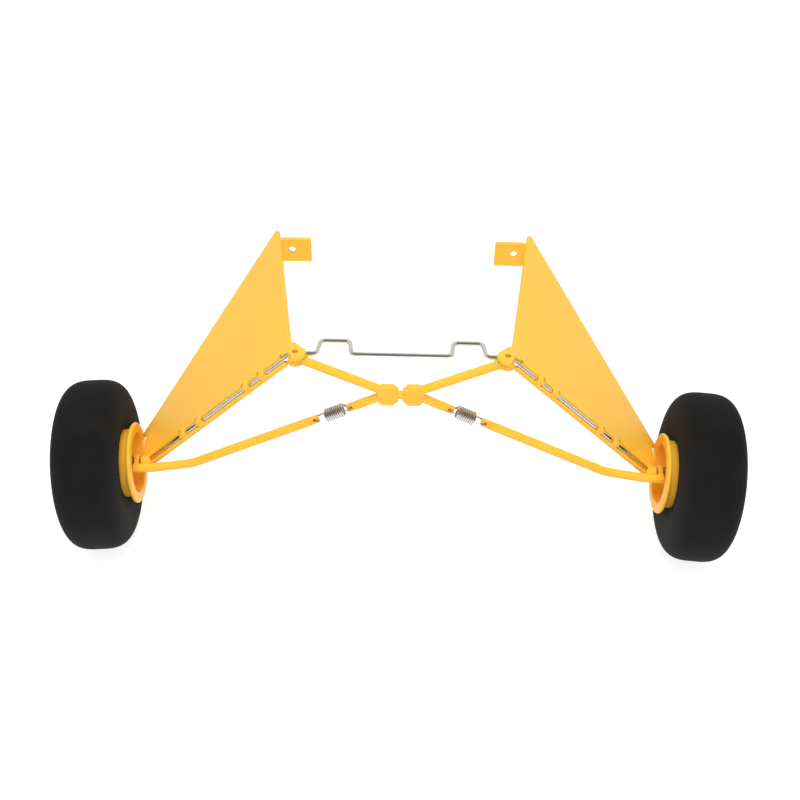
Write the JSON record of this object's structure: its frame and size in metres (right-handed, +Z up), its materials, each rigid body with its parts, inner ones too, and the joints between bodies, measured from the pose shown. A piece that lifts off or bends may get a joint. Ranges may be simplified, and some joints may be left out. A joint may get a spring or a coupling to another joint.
{
  "type": "model aeroplane main landing gear",
  "caption": "Sprung main landing gear for a model high-wing aeroplane: bent wire legs in triangular fairings, a centre brace, sprung struts and two foam wheels.",
  "frame": {"origin": "middle of the fuselage belly, level with the top of the two front ears and in the plane of the wire", "axes": "+X to the right of the picture across the track, +Y rearward from the ears to the rear tabs, +Z up"},
  "size_m": [0.2794, 0.1316, 0.0956],
  "materials": {
    "yellow_nylon": "moulded nylon, satin gloss",
    "hub_plastic": "moulded plastic, satin gloss",
    "steel_wire": "drawn spring wire",
    "spring_steel": "bright coiled wire",
    "foam_rubber": "closed-cell foam, matt skin",
    "collar_plating": "plated, turned",
    "screw_steel": "plated",
    "black_steel": "black oxide"
  },
  "bodies": {
    "root": {"gear_wire_centre": "steel_wire", "centre_brace": "yellow_nylon", "left_fairing_ear": "yellow_nylon", "left_fairing_tab": "yellow_nylon", "right_fairing_ear": "yellow_nylon", "right_fairing_tab": "yellow_nylon"},
    "left_leg": {"left_fairing": "yellow_nylon", "left_leg_wire": "steel_wire", "left_inner_collar": "collar_plating", "left_outer_collar": "collar_plating", "left_inner_grub_screw": "black_steel", "left_outer_grub_screw": "black_steel"},
    "left_wheel": {"left_tyre": "foam_rubber", "left_hub_inner": "hub_plastic", "left_hub_outer": "hub_plastic", "left_hub_screw_1": "screw_steel", "left_hub_screw_2": "screw_steel", "left_hub_screw_3": "screw_steel"},
    "left_spring": {"left_shock_spring": "spring_steel"},
    "left_strut": {"left_shock_strut": "yellow_nylon"},
    "right_leg": {"right_fairing": "yellow_nylon", "right_leg_wire": "steel_wire", "right_inner_collar": "collar_plating", "right_outer_collar": "collar_plating", "right_inner_grub_screw": "black_steel", "right_outer_grub_screw": "black_steel"},
    "right_wheel": {"right_tyre": "foam_rubber", "right_hub_inner": "hub_plastic", "right_hub_outer": "hub_plastic", "right_hub_screw_1": "screw_steel", "right_hub_screw_2": "screw_steel", "right_hub_screw_3": "screw_steel"},
    "right_spring": {"right_shock_spring": "spring_steel"},
    "right_strut": {"right_shock_strut": "yellow_nylon"}
  },
  "joints": [
    {"name": "left_leg_splay", "type": "hinge", "parent": "root", "child": "left_leg", "pos_m": [-0.0416, 0, -0.0033], "axis": [-0.1746, 0.9844, 0.0206], "range_deg": [0, 6], "stiffness_Nm_per_rad": 4},
    {"name": "left_wheel_spin", "type": "hinge", "parent": "left_leg", "child": "left_wheel", "pos_m": [-0.124, -0.00118, -0.05988], "axis": [0.9975, 0.061, 0.0349], "continuous": true},
    {"name": "left_spring_pivot", "type": "hinge", "parent": "root", "child": "left_spring", "pos_m": [-0.01942, -0.0036, -0.02568], "axis": [-0.0178, 0.9881, 0.1527], "range_deg": [0, 5.5]},
    {"name": "left_spring_stretch", "type": "slide", "parent": "left_spring", "child": "left_strut", "axis": [-0.9346, 0.0378, -0.3538], "range_m": [0, 0.0031], "deforming": ["left_shock_spring"]},
    {"name": "right_leg_splay", "type": "hinge", "parent": "root", "child": "right_leg", "pos_m": [0.0416, 0, -0.0033], "axis": [-0.1746, -0.9844, -0.0206], "range_deg": [0, 6], "stiffness_Nm_per_rad": 4},
    {"name": "right_wheel_spin", "type": "hinge", "parent": "right_leg", "child": "right_wheel", "pos_m": [0.124, -0.00118, -0.05988], "axis": [0.9975, -0.061, -0.0349], "continuous": true},
    {"name": "right_spring_pivot", "type": "hinge", "parent": "root", "child": "right_spring", "pos_m": [0.01942, -0.0036, -0.02568], "axis": [-0.0178, -0.9881, -0.1527], "range_deg": [0, 5.5]},
    {"name": "right_spring_stretch", "type": "slide", "parent": "right_spring", "child": "right_strut", "axis": [0.9346, 0.0378, -0.3538], "range_m": [0, 0.0031], "deforming": ["right_shock_spring"]}
  ],
  "couplings": [
    {"joint": "left_spring_pivot", "follows": "left_leg_splay", "ratio": 0.8608},
    {"joint": "left_spring_stretch", "follows": "left_leg_splay", "m_per_rad": 0.02789},
    {"joint": "right_spring_pivot", "follows": "right_leg_splay", "ratio": 0.8608},
    {"joint": "right_spring_stretch", "follows": "right_leg_splay", "m_per_rad": 0.02789}
  ]
}
